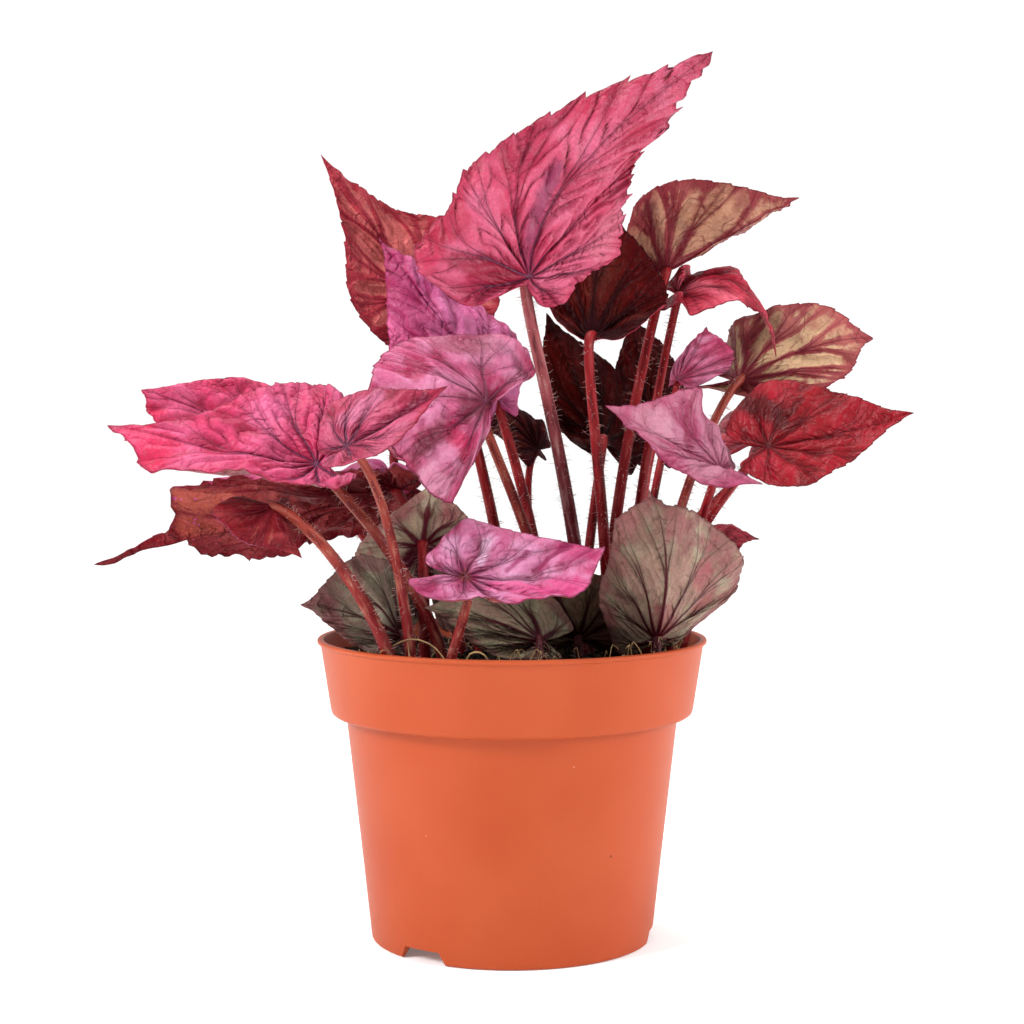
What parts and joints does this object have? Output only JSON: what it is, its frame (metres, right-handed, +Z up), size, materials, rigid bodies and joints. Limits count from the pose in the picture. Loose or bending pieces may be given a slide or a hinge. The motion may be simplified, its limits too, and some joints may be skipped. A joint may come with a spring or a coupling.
{
  "type": "potted begonia",
  "caption": "Leafy rex begonia in a plastic nursery pot: hairy stalks rise from peat and carry toothed, pleated, lopsided heart-shaped leaves.",
  "frame": {"origin": "middle of the flat underside of the pot, on the surface it stands on", "axes": "+Z up, the picture looks along +Y, +X to the viewer's right"},
  "size_m": [0.2463, 0.1592, 0.2701],
  "materials": {
    "pot_plastic": "satin moulded terracotta-orange plastic",
    "peat": "dry crumbly dark peat with straw fibres",
    "leaf_pink": "satin pleated upper face, pink with darker veins",
    "leaf_magenta": "satin pleated upper face, magenta with pale silvery zones",
    "leaf_lilac": "satin silvery lilac upper face",
    "leaf_crimson": "satin crimson upper face",
    "leaf_brick": "matte brick-red underside with a raised red net of veins",
    "leaf_maroon": "matte dark maroon underside",
    "leaf_tan": "matte tan underside between dark red veins",
    "leaf_green": "matte grey-green underside with maroon veins and margin",
    "stalk_red": "satin dark red stalk with fine pale hairs"
  },
  "bodies": {
    "root": {"pot": "pot_plastic", "soil": "peat", "blade_top": "leaf_pink", "stalk_top": "stalk_red", "blade_back_left": "leaf_brick", "stalk_back_left": "stalk_red", "blade_left_tall": "leaf_lilac", "stalk_left_tall": "stalk_red", "blade_left_cup": "leaf_magenta", "stalk_left_cup": "stalk_red", "blade_left_long": "leaf_pink", "stalk_left_long": "stalk_red", "blade_left_back": "leaf_pink", "stalk_left_back": "stalk_red", "blade_left_small": "leaf_pink", "stalk_left_small": "stalk_red", "blade_left_low": "leaf_brick", "stalk_left_low": "stalk_red", "blade_left_curl": "leaf_brick", "stalk_left_curl": "stalk_red", "blade_middle_small": "leaf_maroon", "stalk_middle_small": "stalk_red", "blade_centre_back_left": "leaf_maroon", "stalk_centre_back_left": "stalk_red", "blade_centre_back_right": "leaf_maroon", "stalk_centre_back_right": "stalk_red", "blade_right_top": "leaf_tan", "stalk_right_top": "stalk_red", "blade_right_shade": "leaf_maroon", "stalk_right_shade": "stalk_red", "blade_right_curl": "leaf_crimson", "stalk_right_curl": "stalk_red", "blade_right_tan": "leaf_tan", "stalk_right_tan": "stalk_red", "blade_right_red": "leaf_crimson", "stalk_right_red": "stalk_red", "blade_right_lilac": "leaf_lilac", "stalk_right_lilac": "stalk_red", "blade_right_magenta": "leaf_magenta", "stalk_right_magenta": "stalk_red", "blade_front": "leaf_magenta", "stalk_front": "stalk_red", "blade_low_right": "leaf_green", "stalk_low_right": "stalk_red", "blade_low_right_tip": "leaf_crimson", "stalk_low_right_tip": "stalk_red", "blade_low_left": "leaf_green", "stalk_low_left": "stalk_red", "blade_mid_left": "leaf_green", "stalk_mid_left": "stalk_red", "blade_low_mid": "leaf_green", "stalk_low_mid": "stalk_red", "blade_low_mid_left": "leaf_green", "stalk_low_mid_left": "stalk_red", "blade_rear_left": "leaf_pink", "stalk_rear_left": "stalk_red", "blade_rear_right": "leaf_crimson", "stalk_rear_right": "stalk_red", "blade_rear_low": "leaf_pink", "stalk_rear_low": "stalk_red"}
  },
  "joints": []
}
